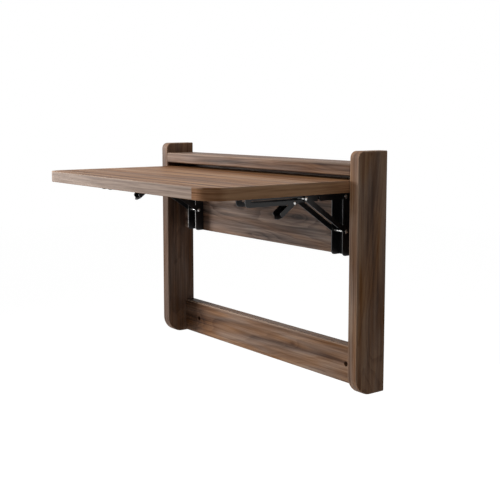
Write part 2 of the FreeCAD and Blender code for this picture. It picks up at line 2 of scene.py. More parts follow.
# # A wall mounted drop leaf table
# The imported model comes in first. It is the fixed frame of this scene: walnut boards, two folding steel
# brackets and their pins, each already in its place in metres.

# %% Load the imported table
import json
import math
import bpy
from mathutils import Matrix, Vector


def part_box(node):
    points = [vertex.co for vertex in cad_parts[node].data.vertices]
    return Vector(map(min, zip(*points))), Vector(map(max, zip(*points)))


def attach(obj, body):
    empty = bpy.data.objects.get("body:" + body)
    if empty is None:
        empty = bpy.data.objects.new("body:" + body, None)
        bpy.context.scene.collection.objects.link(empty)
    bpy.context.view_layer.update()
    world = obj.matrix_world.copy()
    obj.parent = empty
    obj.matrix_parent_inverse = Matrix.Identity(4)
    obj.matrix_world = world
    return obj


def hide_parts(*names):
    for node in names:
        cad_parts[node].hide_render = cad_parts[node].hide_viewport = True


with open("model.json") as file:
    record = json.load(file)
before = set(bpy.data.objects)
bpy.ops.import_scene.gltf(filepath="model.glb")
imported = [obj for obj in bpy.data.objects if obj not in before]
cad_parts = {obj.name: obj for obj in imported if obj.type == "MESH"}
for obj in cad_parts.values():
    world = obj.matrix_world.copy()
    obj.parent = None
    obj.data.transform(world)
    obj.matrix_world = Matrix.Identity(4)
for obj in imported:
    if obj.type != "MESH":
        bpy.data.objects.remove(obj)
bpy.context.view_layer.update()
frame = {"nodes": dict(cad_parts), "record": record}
nodes = frame["nodes"]

# %% [markdown]
# ## The camera
# The photograph looks at the table from the right and a little from above. Its focal length and place were
# worked out from the straight edges of the boards. The lens axis lies above the middle of the picture, so
# the sensor is shifted down a little instead of tilting the camera, which keeps the uprights' lines right.

# %% Set the camera
PICTURE = 500
FOCAL_PIXELS = 910.2
AXIS_PIXEL_Y = 218.8
SENSOR_WIDTH = 36
CAMERA_PLACE = (1.7057, -1.3685, 0.33855)
CAMERA_YAW = 52.741
CAMERA_PITCH = 6.427

bpy.ops.object.select_all(action="DESELECT")
bpy.ops.object.camera_add(
    location=CAMERA_PLACE,
    rotation=(math.radians(90 - CAMERA_PITCH), 0, math.radians(CAMERA_YAW)))
camera = bpy.context.object
camera.name = "camera"
camera.data.sensor_width = SENSOR_WIDTH
camera.data.lens = FOCAL_PIXELS * SENSOR_WIDTH / PICTURE
camera.data.shift_y = (AXIS_PIXEL_Y - PICTURE / 2) / PICTURE
bpy.context.scene.camera = camera
print("lens", round(camera.data.lens, 2), "shift", round(camera.data.shift_y, 4))

# %% [markdown]
# ## Shader maths as plain sums
# Wood needs a lot of arithmetic on coordinates. Wiring that by hand takes a page of links, so one small
# class wraps an output socket. Adding or multiplying two of them makes the Math node that does it, and its
# `node` method makes any other kind of node: its settings are set first, then its sockets are filled.

# %% Wrap the sockets

def plug(value, socket):
    if isinstance(value, Wire):
        socket.id_data.links.new(value.socket, socket)
    else:
        socket.default_value = value


def fill_ramp(colour_ramp, stops):
    while len(colour_ramp.elements) < len(stops):
        colour_ramp.elements.new(0.5)
    for element, (place, colour) in zip(colour_ramp.elements, stops):
        element.position = place
        element.color = colour


class Wire:
    def __init__(self, socket):
        self.socket = socket

    def node(self, kind, settings, sockets, output=0):
        made = self.socket.id_data.nodes.new(kind)
        for name, setting in settings.items():
            if name == "stops":
                fill_ramp(made.color_ramp, setting)
            else:
                setattr(made, name, setting)
        for key, value in sockets.items():
            plug(value, made.inputs[key])
        return Wire(made.outputs[output])

    def math(self, operation, *others):
        return self.node("ShaderNodeMath", {"operation": operation}, dict(enumerate((self,) + others)))

    def __add__(self, other):
        return self.math("ADD", other)

    def __sub__(self, other):
        return self.math("SUBTRACT", other)

    def __mul__(self, other):
        return self.math("MULTIPLY", other)

    def __truediv__(self, other):
        return self.math("DIVIDE", other)

    def __lt__(self, other):
        return self.math("LESS_THAN", other)

    def __gt__(self, other):
        return self.math("GREATER_THAN", other)

    def __neg__(self):
        return self.math("MULTIPLY", -1.0)

    def __rsub__(self, other):
        return -self + other

    __radd__ = __add__
    __rmul__ = __mul__


print("wires ready")

# %% [markdown]
# A few short helpers name the nodes that every finish below uses: the point on the surface and its three
# numbers, a point stretched and shifted, a noise, a ramp, a blend of two colours and a bump. A noise lies
# around one half, so `sway` takes the half off and lets it push both ways.

# %% Name the common nodes

def grey(level):
    return (level, level, level, 1)


def new_finish(name):
    material = bpy.data.materials.new(name)
    material.use_nodes = True
    shader = material.node_tree.nodes["Principled BSDF"]
    place = Wire(material.node_tree.nodes.new("ShaderNodeTexCoord").outputs["Object"])
    return material, shader, place


def split(point):
    first = point.node("ShaderNodeSeparateXYZ", {}, {0: point})
    return [Wire(socket) for socket in first.socket.node.outputs]


def joined(x, y, z):
    return x.node("ShaderNodeCombineXYZ", {}, {0: x, 1: y, 2: z})


def stretched(point, scale, shift=(0, 0, 0)):
    return point.node("ShaderNodeVectorMath", {"operation": "MULTIPLY_ADD"}, {
        0: point, 1: scale, 2: shift})


def noise(point, scale=1.0, detail=2.0, roughness=0.5, distortion=0.0):
    return point.node("ShaderNodeTexNoise", {}, {
        "Vector": point, "Scale": scale, "Detail": detail,
        "Roughness": roughness, "Distortion": distortion})


def sway(value, reach):
    return (value - 0.5) * reach


def ramp(value, *stops):
    return value.node("ShaderNodeValToRGB", {"stops": stops}, {0: value})


def between(value, low, high):
    return value.node("ShaderNodeMapRange", {"interpolation_type": "SMOOTHSTEP"}, {
        "Value": value, "From Min": low, "From Max": high})


def blend(share, first, second):
    return share.node("ShaderNodeMix", {"data_type": "RGBA"}, {0: share, 6: first, 7: second}, output=2)


def bump(height, strength, distance):
    return height.node("ShaderNodeBump", {}, {
        "Height": height, "Strength": strength, "Distance": distance})


print("helpers ready")

# %% [markdown]
# ## Walnut
# A board is a slice of a log. Its year rings are tubes around a pith line that lies outside the board, so
# the distance from that line gives long flames on the faces and arcs on the end grain, all from one sum.
# A slow noise bends the rings, a quicker one ripples them, and a third spaces them unevenly, as wet and dry
# years do. A point on a board has its run along the grain first, then its place to the side and its height,
# and the three numbers of a scale stretch the noise in that order.

# %% Grow the rings
RING_GAP = 0.0062
BEND_SCALE, BEND_REACH = (1.7, 8.0, 8.0), 0.07
SWIRL_SCALE, SWIRL_REACH = (6.0, 30.0, 30.0), 0.008
YEAR_SCALE, YEAR_SPREAD = 70.0, 3.0


def ring_field(point, look):
    seed, pith, lean = look["seed"], look["pith"], look["lean"]
    run, side, up = split(point)
    bend = noise(stretched(point, BEND_SCALE, (seed, 0, 0)), distortion=0.4)
    swirl = noise(stretched(point, SWIRL_SCALE, (seed, 0, seed)))
    across = side - pith[0] + run * lean[0]
    above = up - pith[1] + run * lean[1]
    radius = (across * across + above * above).math("SQRT")
    radius = radius + sway(bend, look.get("drift", BEND_REACH)) + sway(swirl, SWIRL_REACH)
    uneven = noise(joined(radius * YEAR_SCALE, seed, 0))
    return radius / RING_GAP + uneven * YEAR_SPREAD


print("ring gap in mm", RING_GAP * 1000)

# %% [markdown]
# Some boards carry a figure that the eye remembers: a knot that the rings flow around, or one long dark
# streak. Each is a soft spot, thickest in its middle, placed by its run along the board and its height. A
# streak wavers a little and fades in and out at its ends. The same soft spots also paint shadow and light
# onto some boards: a painted shadow where a bracket leg and an upright shade the rails, and painted light
# near the tops of the uprights.

# %% Place knots and streaks
WAVER_REACH = 0.03
FADE_BEFORE, FADE_AFTER, FADE_OUT = 0.05, 0.07, 0.08


def soft_spot(run, height, middle, size):
    far_run = (run - middle[0]) / size[0]
    far_height = (height - middle[1]) / size[1]
    return (-(far_run * far_run + far_height * far_height)).math("EXPONENT")


def streak(run, height, start, end, thickness, waver):
    slope = (end[1] - start[1]) / (end[0] - start[0])
    line = (run - start[0]) * slope + start[1] + sway(waver, WAVER_REACH)
    off = (height - line) / thickness
    begun = between(run, start[0] - FADE_BEFORE, start[0] + FADE_AFTER)
    ended = between(run, end[0], end[0] + FADE_OUT)
    return (-(off * off)).math("EXPONENT") * (begun * (1.0 - ended))


print("streaks waver by mm", WAVER_REACH * 1000)

# %% [markdown]
# The colour is one light-to-dark scale, and every kind of grain only pushes along it: rings, broad smoky
# bands, lines a few millimetres wide, fine fibres, and the open pores that walnut shows as short dark
# dashes. Each ring starts pale and ends in dark late wood.

# %% Add up the grain
WALNUT_SCALE = (
    (0.00, (0.330, 0.205, 0.130, 1)),
    (0.28, (0.222, 0.126, 0.076, 1)),
    (0.52, (0.142, 0.075, 0.043, 1)),
    (0.76, (0.078, 0.040, 0.024, 1)),
    (1.00, (0.030, 0.016, 0.011, 1)))
LATE_WOOD = (
    (0.00, grey(0.05)),
    (0.50, grey(0.22)),
    (0.82, grey(0.90)),
    (0.93, grey(1.00)),
    (1.00, grey(0.05)))
BAND_RUN = 2.4
LINE_SCALE = (3.6, 105.0, 105.0)
FIBRE_SCALE, FIBRE_PUSH = (7.0, 420.0, 420.0), 0.55
PORE_SCALE, PORE_PUSH = (60.0, 1500.0, 1500.0), 0.08
PORE_START, PORE_FULL = 0.60, 0.72


def walnut_tone(point, look):
    seed, wide = look["seed"], look["wide"]
    run, _, up = split(point)
    rings = ring_field(point, look)
    tone = look["tone"]
    # these soft spots are knots, painted shadows and painted light
    for middle, size, push, dark in look.get("knots", ()):
        spot = soft_spot(run, up, middle, size)
        rings = rings + spot * push
        tone = spot * dark + tone
    late = ramp(rings.math("FRACT"), *LATE_WOOD)
    band_scale = (BAND_RUN * look.get("pace", 1.0), wide, wide)
    band = noise(stretched(point, band_scale, (-seed, seed, 0)), detail=3.0, distortion=0.7)
    line = noise(stretched(point, LINE_SCALE, (seed, 0, -seed)), detail=3.0, roughness=0.6)
    fibre = noise(stretched(point, FIBRE_SCALE, (seed, 0, 0)), roughness=0.6)
    pores = between(noise(stretched(point, PORE_SCALE), detail=1.0), PORE_START, PORE_FULL)
    tone = tone + late * look["rings"] + sway(band, look["smoke"]) + sway(line, look["lines"])
    tone = tone + sway(fibre, FIBRE_PUSH) + pores * PORE_PUSH
    for start, end, thickness, dark in look.get("streaks", ()):
        tone = tone + streak(run, up, start, end, thickness, band) * dark
    return tone, late, fibre, pores


print("walnut steps", len(WALNUT_SCALE))

# %% [markdown]
# The leaf's edges are lipped with thin strips of the same wood, whose grain runs along the edge. The front
# strip is paler, partly pale wood and partly a painted sheen, and stops where the corners turn, which the
# photograph shows as one clean upright line. The strips that go round the corners are duller, and painted
# shade is laid on them: they start dark at the corners, grow lighter along the sides and darken again
# towards the wall. The right strip, which lies in shade, is painted paler than the lit left one, a painted
# light. A point lies on a strip when it is between the two broad faces. The sum of its distances along X
# and Y tells how far round the corner it is.

# %% Lip the leaf's edges
# the front strip's pale colours carry a painted sheen as well as the wood's own paleness
PALE_STRIP_AND_SHEEN_SCALE = (
    (0.00, (0.405, 0.295, 0.232, 1)),
    (0.50, (0.238, 0.163, 0.121, 1)),
    (1.00, (0.085, 0.053, 0.036, 1)))
BROAD_SKIN = 0.0008
CORNER_END, CORNER_FADE = -0.030, 0.035
REAR_START, REAR_END = -0.30, -0.10
# painted shade on the side strips, at the corners and towards the wall
CORNER_PAINTED_SHADE, REAR_PAINTED_SHADE = 0.34, 0.12
FRONT_GRAIN, FRONT_TONE, FRONT_FIGURE = (5.0, 210.0, 2.0), 0.36, 1.9
SIDE_GRAIN, SIDE_TONE, SIDE_FIGURE = (6.0, 190.0, 2.0), 0.02, 1.5
SIDE_SHIFT = (4.0, 0, 0)
SIDE_WARMTH = 1.12
# painted light on the shaded right strip, painted shade on the lit left one
LEFT_PAINTED_SHADE_VALUE, RIGHT_PAINTED_LIGHT_VALUE = 0.9, 1.5


def edge_strips(colour, x, y, z, look):
    seam_x, seam_y = look["seam"]
    low, high = look["box"][0][2] + BROAD_SKIN, look["box"][1][2] - BROAD_SKIN
    outward = x.math("ABSOLUTE")
    edge = (z > low) * (z < high)
    front = edge * (x < seam_x) * (y < seam_y)
    side = edge * (outward > seam_x) * (1.0 - front)
    round_edge = outward + y
    point = joined(round_edge, z, x)
    front_grain = noise(stretched(point, FRONT_GRAIN), detail=3.0, roughness=0.6)
    side_grain = noise(stretched(point, SIDE_GRAIN, SIDE_SHIFT), detail=3.0, roughness=0.6)
    # painted shade: the side strips start dark at the corner and darken towards the wall
    corner = between(round_edge, CORNER_END, CORNER_END - CORNER_FADE)
    rear = between(y, REAR_START, REAR_END)
    side_tone = SIDE_TONE + corner * CORNER_PAINTED_SHADE + rear * REAR_PAINTED_SHADE + sway(side_grain, SIDE_FIGURE)
    side_strip = ramp(side_tone, *WALNUT_SCALE)
    # painted light and shade: the right strip is painted paler, the left one darker
    value = LEFT_PAINTED_SHADE_VALUE + (x > 0.0) * (RIGHT_PAINTED_LIGHT_VALUE - LEFT_PAINTED_SHADE_VALUE)
    side_strip = side_strip.node("ShaderNodeHueSaturation", {}, {
        "Saturation": SIDE_WARMTH, "Value": value, "Color": side_strip})
    front_strip = ramp(FRONT_TONE + sway(front_grain, FRONT_FIGURE), *PALE_STRIP_AND_SHEEN_SCALE)
    return blend(front, blend(side, colour, side_strip), front_strip), side


print("strip steps", len(PALE_STRIP_AND_SHEEN_SCALE))

# %% [markdown]
# Sharp corners do not last, so the boards' front edges are eased round, and the rounding is painted paler
# than the faces, a painted highlight where it catches the light. A point is on such an edge when it is near
# two faces of the board's box at once, so of its distances to the front, the top and the ends, the second
# smallest decides. Edges that look down get no painted highlight, and ends that butt against an upright are
# left out.

# %% Paint the edge highlights
HIGHLIGHT_START, HIGHLIGHT_FULL = 0.004, 0.002
# the pale colour painted on the upper and front edges, a painted highlight
EDGE_HIGHLIGHT = (0.46, 0.34, 0.26, 1)


def rubbed_edges(colour, x, y, z, look):
    low, high = look["box"]
    ahead = y - low[1]
    upward = high[2] - z
    outer = ahead.math("MAXIMUM", upward)
    if not look.get("butted"):
        sideways = (high[0] - low[0]) / 2 - (x - (low[0] + high[0]) / 2).math("ABSOLUTE")
        inner = ahead.math("MINIMUM", upward)
        outer = inner.math("MAXIMUM", outer.math("MINIMUM", sideways))
    return blend(between(outer, HIGHLIGHT_START, HIGHLIGHT_FULL) * look["rub"], colour, EDGE_HIGHLIGHT)


print("edges rubbed over mm", HIGHLIGHT_START * 1000)

# %% [markdown]
# Now the grain, the strips and the painted edge highlights are wired into one finish. The point is turned
# first, so that its first number runs along the grain. A last noise makes the colour warmer in some patches
# and duller in others. The fibres and pores also roughen the oiled surface and dent it a little, so that
# its gloss breaks along the grain.

# %% Make the walnut
PATCH_RUN, PATCH_ACROSS = 5.0, 40.0
PATCHY = 1.1
OIL_GLOSS = 0.06
WOOD_ROUGH, FIBRE_ROUGH, PORE_ROUGH, STRIP_ROUGH = 0.40, 0.18, 0.12, 0.35
FIBRE_RISE, PORE_DENT, RING_DENT = 0.5, 0.7, 0.2
GRAIN_STRENGTH, GRAIN_RELIEF = 0.15, 0.0006


def walnut(name, along, look):
    material, shader, place = new_finish(name)
    x, y, z = split(place)
    point = place if along == "x" else joined(z, x, y)
    tone, late, fibre, pores = walnut_tone(point, look)
    patch_scale = (PATCH_RUN * look.get("pace", 1.0), PATCH_ACROSS, PATCH_ACROSS)
    patch = noise(stretched(point, patch_scale, (look["seed"], 0, look["seed"])), distortion=0.5)
    warmth = look["warmth"] + sway(patch, look.get("patchy", PATCHY))
    colour = ramp(tone, *WALNUT_SCALE)
    colour = colour.node("ShaderNodeHueSaturation", {}, {"Saturation": warmth, "Color": colour})
    rough = WOOD_ROUGH + fibre * FIBRE_ROUGH + pores * PORE_ROUGH
    if "seam" in look:
        colour, dull = edge_strips(colour, x, y, z, look)
        rough = rough + dull * STRIP_ROUGH
    relief = fibre * FIBRE_RISE - pores * PORE_DENT - late * RING_DENT
    # the pale edges blended in here are a painted highlight
    plug(rubbed_edges(colour, x, y, z, look), shader.inputs["Base Color"])
    plug(rough, shader.inputs["Roughness"])
    plug(bump(relief, GRAIN_STRENGTH, GRAIN_RELIEF), shader.inputs["Normal"])
    shader.inputs["Specular IOR Level"].default_value = OIL_GLOSS
    return material


print("oil gloss", OIL_GLOSS)

# %% [markdown]
# Every board is cut from another log, so each has a look of its own. Its `pith` and `lean` place the pith
# line and slope it against the board, and its `seed` picks the noises. Its `tone` says how dark it is, and
# its `warmth` how strong its colour is, which `patchy` lets vary. How strongly the rings, the smoky bands
# and the lines show is `rings`, `smoke` and `lines`. The bands' scale across the board is `wide`, `pace` is
# how quickly they change along it, and `drift` is how far the rings bend. One number sets how pale the
# painted highlight on the board's edges is, `butted` leaves the ends out, and `seam` is where the leaf's
# front strip stops. A soft spot has its middle, its size, how far it pushes the rings and how much it
# darkens; such spots are knots, painted shadows and painted light. A streak has its start, its end, its
# thickness and how much it darkens.
#
# The grain of the uprights runs along Z, and the left one is the darker wood. The first soft spot on each
# upright paints the part near its top lighter, a painted light.

# %% Dress the uprights

def dress(board, along, **look):
    look["box"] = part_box(board)
    nodes[board].data.materials.clear()
    nodes[board].data.materials.append(walnut(board + "_walnut", along, look))
    print(board, "tone", look["tone"])


dress("left_upright", "z", pith=(-0.30, -0.045), lean=(0.03, 0.02), seed=3.1, tone=0.55, warmth=0.92,
      rings=0.12, smoke=0.6, wide=17.0, lines=0.7, rub=0.14,
      # the first spot is painted light near the top of the upright
      knots=(((0.275, -0.04), (0.045, 0.2), 0.0, -0.34),
             ((-0.220, -0.04), (0.070, 0.2), 0.0, -0.12),
             ((-0.050, -0.0805), (0.600, 0.006), 0.0, 0.16)))
dress("right_upright", "z", pith=(0.47, -0.050), lean=(0.015, -0.01), seed=8.4, tone=0.24, warmth=1.0,
      rings=0.16, smoke=0.9, wide=24.0, lines=1.3, rub=0.26,
      # the first spot is painted light near the top of the upright
      knots=(((0.260, -0.04), (0.080, 0.2), 0.0, -0.07),
             ((0.150, -0.0805), (0.120, 0.008), 0.0, -0.12)))

# %% [markdown]
# The shelf and the two rails lie between the uprights, so their ends are butted and their grain runs along
# X. The bracket rail has the boldest figure, a broad flame around a knot, and the bottom rail has a few
# long dark streaks. The tall dark spot at the bracket rail's left end is a painted shadow around the left
# bracket's leg. At the bottom rail's left end, the first soft spot is a painted shadow of the left upright
# that also bends the rings like a knot, and the third paints that shadow onto the rail's top.

# %% Dress the shelf and the rails
dress("top_shelf", "x", pith=(0.05, 0.13), lean=(0.03, 0.02), seed=5.2, tone=0.40, warmth=0.92,
      rings=0.16, smoke=0.6, wide=17.0, lines=1.5, rub=0.30, butted=True,
      knots=(((-0.285, 0.222), (0.075, 0.011), 0.0, -0.28),
             ((0.300, 0.222), (0.060, 0.010), 0.0, -0.22)))
dress("bracket_rail", "x", pith=(0.10, 0.115), lean=(0.03, 0.01), seed=12.7, tone=0.305, warmth=0.74,
      rings=0.26, smoke=0.9, wide=20.0, lines=1.6, rub=0.20, butted=True, drift=0.025,
      knots=(((0.100, 0.109), (0.130, 0.026), 3.4, 0.10),
             ((-0.018, 0.056), (0.055, 0.018), 1.2, 0.10),
             ((0.122, 0.109), (0.022, 0.007), 1.0, 0.26),
             # painted shadow around the left bracket's leg
             ((-0.285, 0.120), (0.060, 0.300), 0.0, 0.30),
             ((-0.120, 0.075), (0.140, 0.045), 0.0, -0.14),
             ((0.160, 0.104), (0.100, 0.014), 0.0, 0.13)))
dress("bottom_rail", "x", pith=(0.07, -0.26), lean=(0.05, 0.05), seed=17.9, tone=0.20, warmth=0.96,
      rings=0.14, smoke=0.6, wide=14.0, lines=1.0, rub=0.40, butted=True, drift=0.10,
      # the first spot is a painted shadow of the left upright, which also bends the rings like a knot
      knots=(((-0.320, -0.200), (0.095, 0.060), 2.0, 0.42),
             ((0.105, -0.191), (0.016, 0.007), 1.2, 0.16),
             # painted shadow of the left upright on the rail's top
             ((-0.335, -0.158), (0.040, 0.006), 0.0, 0.35)),
      streaks=(((-0.100, -0.206), (0.050, -0.201), 0.0060, 0.36),
               ((0.060, -0.196), (0.210, -0.196), 0.0050, 0.42),
               ((0.170, -0.186), (0.300, -0.196), 0.0040, 0.30),
               ((-0.300, -0.203), (-0.200, -0.193), 0.0070, 0.24)))

# %% [markdown]
# The leaf is the widest board and the warmest one. Its smoky bands are long and strong, and only it has the
# lipped edges.

# %% Dress the leaf
dress("leaf", "x", pith=(0.30, 0.02), lean=(0.05, 0.01), seed=23.3, tone=0.18, warmth=1.15,
      rings=0.30, smoke=1.9, wide=30.0, pace=0.4, lines=1.6, patchy=0.7, drift=0.04,
      rub=0.30, seam=(0.288, -0.3815))

# %% [markdown]
# ## Steel and beech
# The brackets are pressed from sheet and coated black. The coat is never quite even, so its gloss and its
# surface carry a fine orange peel. On the left leg the front edges of the sheet are painted a patchy pale
# grey, a painted highlight where they catch the light. Most of a noise lies between 0.3 and 0.7, so
# `mottled` spreads its two tones over that range.

# %% Make the coated steel
COAT_DARK, COAT_PALE = (0.0065, 0.0065, 0.0072, 1), (0.0120, 0.0120, 0.0130, 1)
COAT_SCALE, PEEL_SCALE = 45.0, 900.0
COAT_ROUGH, COAT_ROUGHER = 0.30, 0.16
COAT_GLOSS = 0.38
PEEL_STRENGTH, PEEL_RELIEF = 0.08, 0.0003
# pale grey painted on the left leg's front edges, a painted highlight
PAINTED_GLINT = (0.30, 0.29, 0.28, 1)
GLINT_RUN = 0.0004
GLINT_SCALE, GLINT_START, GLINT_FULL = 160.0, 0.25, 0.55


def mottled(patch, first, second):
    return ramp(patch, (0.3, first), (0.7, second))


def coated_steel(name, glint_from=None):
    material, shader, place = new_finish(name)
    patch = noise(place, COAT_SCALE, detail=3.0)
    colour = mottled(patch, COAT_DARK, COAT_PALE)
    if glint_from is not None:
        edge = between(split(place)[1], glint_from, glint_from - GLINT_RUN)
        glint = edge * between(noise(place, GLINT_SCALE, detail=3.0), GLINT_START, GLINT_FULL)
        colour = blend(glint, colour, PAINTED_GLINT)
    plug(colour, shader.inputs["Base Color"])
    plug(COAT_ROUGH + patch * COAT_ROUGHER, shader.inputs["Roughness"])
    plug(bump(noise(place, PEEL_SCALE), PEEL_STRENGTH, PEEL_RELIEF), shader.inputs["Normal"])
    shader.inputs["Specular IOR Level"].default_value = COAT_GLOSS
    return material


print("worn edge in mm", GLINT_RUN * 1000)

# %% [markdown]
# Pins, rivets and springs are bright zinc with faint turning marks around them, made by a noise squeezed
# along X, their axis. The slide pins are painted black except at their outer ends, a painted shade where
# they run inside the arms.

# %% Make the zinc
ZINC_DARK, ZINC_PALE = (0.66, 0.66, 0.64, 1), (0.84, 0.84, 0.83, 1)
ZINC_SCALE = 300.0
ZINC_ROUGH, ZINC_ROUGHER = 0.16, 0.16
ZINC_METAL = 0.7
TURNING_SCALE = (2600.0, 160.0, 160.0)
TURNING_STRENGTH, TURNING_RELIEF = 0.05, 0.0002
# black painted on the slide pins' middles, a painted shade
PIN_SHADE = grey(0.012)
UNSHADED_END, UNSHADED_FADE = 0.010, 0.001


def bright_zinc(name, unshaded_from=None):
    material, shader, place = new_finish(name)
    turning = noise(stretched(place, TURNING_SCALE))
    colour = mottled(noise(place, ZINC_SCALE, detail=3.0), ZINC_DARK, ZINC_PALE)
    if unshaded_from is not None:
        unshaded = between(split(place)[0].math("ABSOLUTE"), unshaded_from, unshaded_from + UNSHADED_FADE)
        colour = blend(unshaded, PIN_SHADE, colour)
    plug(colour, shader.inputs["Base Color"])
    plug(ZINC_ROUGH + turning * ZINC_ROUGHER, shader.inputs["Roughness"])
    plug(bump(turning, TURNING_STRENGTH, TURNING_RELIEF), shader.inputs["Normal"])
    shader.inputs["Metallic"].default_value = ZINC_METAL
    return material


print("bare pin end in mm", UNSHADED_END * 1000)

# %% [markdown]
# The screws are blackened steel, whose black is a little paler and browner in patches. The dowels inside
# the boards are plain beech with a straight fibre.

# %% Make the screw and dowel finishes
OXIDE_DARK, OXIDE_PALE = (0.018, 0.018, 0.020, 1), (0.050, 0.048, 0.046, 1)
OXIDE_SCALE = 400.0
OXIDE_ROUGH, OXIDE_ROUGHER = 0.28, 0.2
OXIDE_METAL = 0.8
BEECH_DARK, BEECH_PALE = (0.42, 0.26, 0.14, 1), (0.62, 0.44, 0.27, 1)
BEECH_SCALE = (60.0, 900.0, 900.0)
BEECH_ROUGH, BEECH_ROUGHER = 0.55, 0.15


def black_oxide(name):
    material, shader, place = new_finish(name)
    patch = noise(place, OXIDE_SCALE, detail=3.0)
    plug(mottled(patch, OXIDE_DARK, OXIDE_PALE), shader.inputs["Base Color"])
    plug(OXIDE_ROUGH + patch * OXIDE_ROUGHER, shader.inputs["Roughness"])
    shader.inputs["Metallic"].default_value = OXIDE_METAL
    return material


def plain_beech(name):
    material, shader, place = new_finish(name)
    fibre = noise(stretched(place, BEECH_SCALE), detail=3.0)
    plug(mottled(fibre, BEECH_DARK, BEECH_PALE), shader.inputs["Base Color"])
    plug(BEECH_ROUGH + fibre * BEECH_ROUGHER, shader.inputs["Roughness"])
    return material


print("screw and dowel finishes ready")

# %% [markdown]
# The record names a material slot for every node, so one loop hands the four finishes out. After it, the
# left leg gets its coat with a painted highlight on the front edges, and the slide pins get their painted
# shade. The front of the leg and the ends of the pins come from their boxes.

# %% Hand out the finishes
FINISHES = {
    "black_steel": coated_steel("black_coated_steel"),
    "bright_steel": bright_zinc("bright_zinc"),
    "screw_steel": black_oxide("black_oxide"),
    "dowel_wood": plain_beech("plain_beech"),
}
for entry in frame["record"]["subparts"]:
    if entry["material_slot"] in FINISHES:
        nodes[entry["node"]].data.materials.clear()
        nodes[entry["node"]].data.materials.append(FINISHES[entry["material_slot"]])
leg_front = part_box("left_wall_leg")[0][1]
# the left leg's front edges get a painted highlight
nodes["left_wall_leg"].data.materials[0] = coated_steel("glinting_black_steel", leg_front + 2 * GLINT_RUN)
pin_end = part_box("right_slide_pin")[1][0]
# the slide pins' middles get a painted shade
shaded_pin = bright_zinc("shaded_zinc", pin_end - UNSHADED_END)
for side in ("left", "right"):
    nodes[side + "_slide_pin"].data.materials[0] = shaded_pin
print("finishes", sorted(FINISHES), "and", shaded_pin.name)

# %% [markdown]
# ## The lever springs
# Behind each release lever a small torsion spring is wound around the rivet and keeps the catch home. The
# solid model has a plain sleeve there, and its box gives the spring's place and length. A spring is a round
# wire led along a screw line, so we draw the wire's round section once beside the rivet, let a Screw
# modifier lead it round, and pull both ends out into legs.

# %% Wind one spring
MM = 0.001
SPRING_RADIUS = 2.40 * MM
SPRING_TURNS = 13
STEPS_A_TURN = 20
WIRE_RADIUS = 0.48 * MM
WIRE_POINTS = 10
END_ROOM = 0.9 * MM

sleeve_low, sleeve_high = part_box("right_lever_spring")
bracket_x, rivet_y, rivet_z = (sleeve_low + sleeve_high) / 2
spring_length = sleeve_high[0] - sleeve_low[0] - 2 * END_ROOM


def edit_all():
    bpy.ops.object.mode_set(mode="EDIT")
    bpy.ops.mesh.select_all(action="SELECT")


def apply_place(location=True):
    bpy.ops.object.transform_apply(location=location, rotation=True, scale=True)


bpy.ops.object.select_all(action="DESELECT")
bpy.ops.mesh.primitive_circle_add(
    vertices=WIRE_POINTS, radius=WIRE_RADIUS, fill_type="NOTHING", rotation=(math.radians(90), 0, 0),
    location=(bracket_x - spring_length / 2, rivet_y, rivet_z))
spring = bpy.context.object
apply_place(location=False)
edit_all()
bpy.ops.transform.translate(value=(0, 0, SPRING_RADIUS))
bpy.ops.object.mode_set(mode="OBJECT")
winding = spring.modifiers.new("winding", "SCREW")
winding.axis = "X"
winding.angle = 2 * math.pi * SPRING_TURNS
winding.screw_offset = spring_length
winding.steps = winding.render_steps = SPRING_TURNS * STEPS_A_TURN
bpy.ops.object.modifier_apply(modifier="winding")
apply_place()
print("spring points", len(spring.data.vertices))

# %% [markdown]
# The end of the wire is a ring of ten points. Points are picked by their place: those of the first ring
# lie level with the rivet, above it, at the spring's left end, and those of the last ring at its right end.
# Each ring is pulled straight on from the winding and closed with a face.

# %% Pull out the spring's legs
LEG_LENGTH = 5.0 * MM
END_REACH = 1.3 * WIRE_RADIUS
LEVEL_REACH = WIRE_RADIUS / 100
SPRING_CREASE = 40


def pick(piece, kind, wanted):
    bpy.ops.object.mode_set(mode="EDIT")
    bpy.ops.mesh.select_mode(type=kind)
    bpy.ops.mesh.select_all(action="DESELECT")
    bpy.ops.object.mode_set(mode="OBJECT")
    items = piece.data.vertices if kind == "VERT" else piece.data.polygons
    for item in items:
        item.select = wanted(item)
    bpy.ops.object.mode_set(mode="EDIT")


first_step = spring.data.vertices[WIRE_POINTS].co.y - spring.data.vertices[0].co.y
for end in (-1, 1):
    end_x = bracket_x + end * spring_length / 2
    pick(spring, "VERT", lambda point: (abs(point.co.x - end_x) < END_REACH and point.co.z > rivet_z
                                        and abs(point.co.y - rivet_y) < LEVEL_REACH))
    reach = math.copysign(LEG_LENGTH, end * first_step)
    bpy.ops.mesh.extrude_region_move(TRANSFORM_OT_translate={"value": (0, reach, 0)})
    bpy.ops.mesh.edge_face_add()
    bpy.ops.object.mode_set(mode="OBJECT")
edit_all()
bpy.ops.mesh.normals_make_consistent(inside=False)
bpy.ops.object.mode_set(mode="OBJECT")
bpy.ops.object.shade_smooth_by_angle(angle=math.radians(SPRING_CREASE))
print("spring box", [round(size / MM, 2) for size in spring.dimensions])

# %% [markdown]
# The second spring is a copy with its own mesh, moved across to the other bracket inside its mesh. Each one
# rides on the leaf, whose arm holds the rivet, and stands for the plain sleeve.

# %% Copy the spring

def hand_over(piece, name, body, slot, node):
    piece.name = name
    piece.data.materials.clear()
    piece.data.materials.append(FINISHES[slot])
    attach(piece, body)
    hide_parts(node)


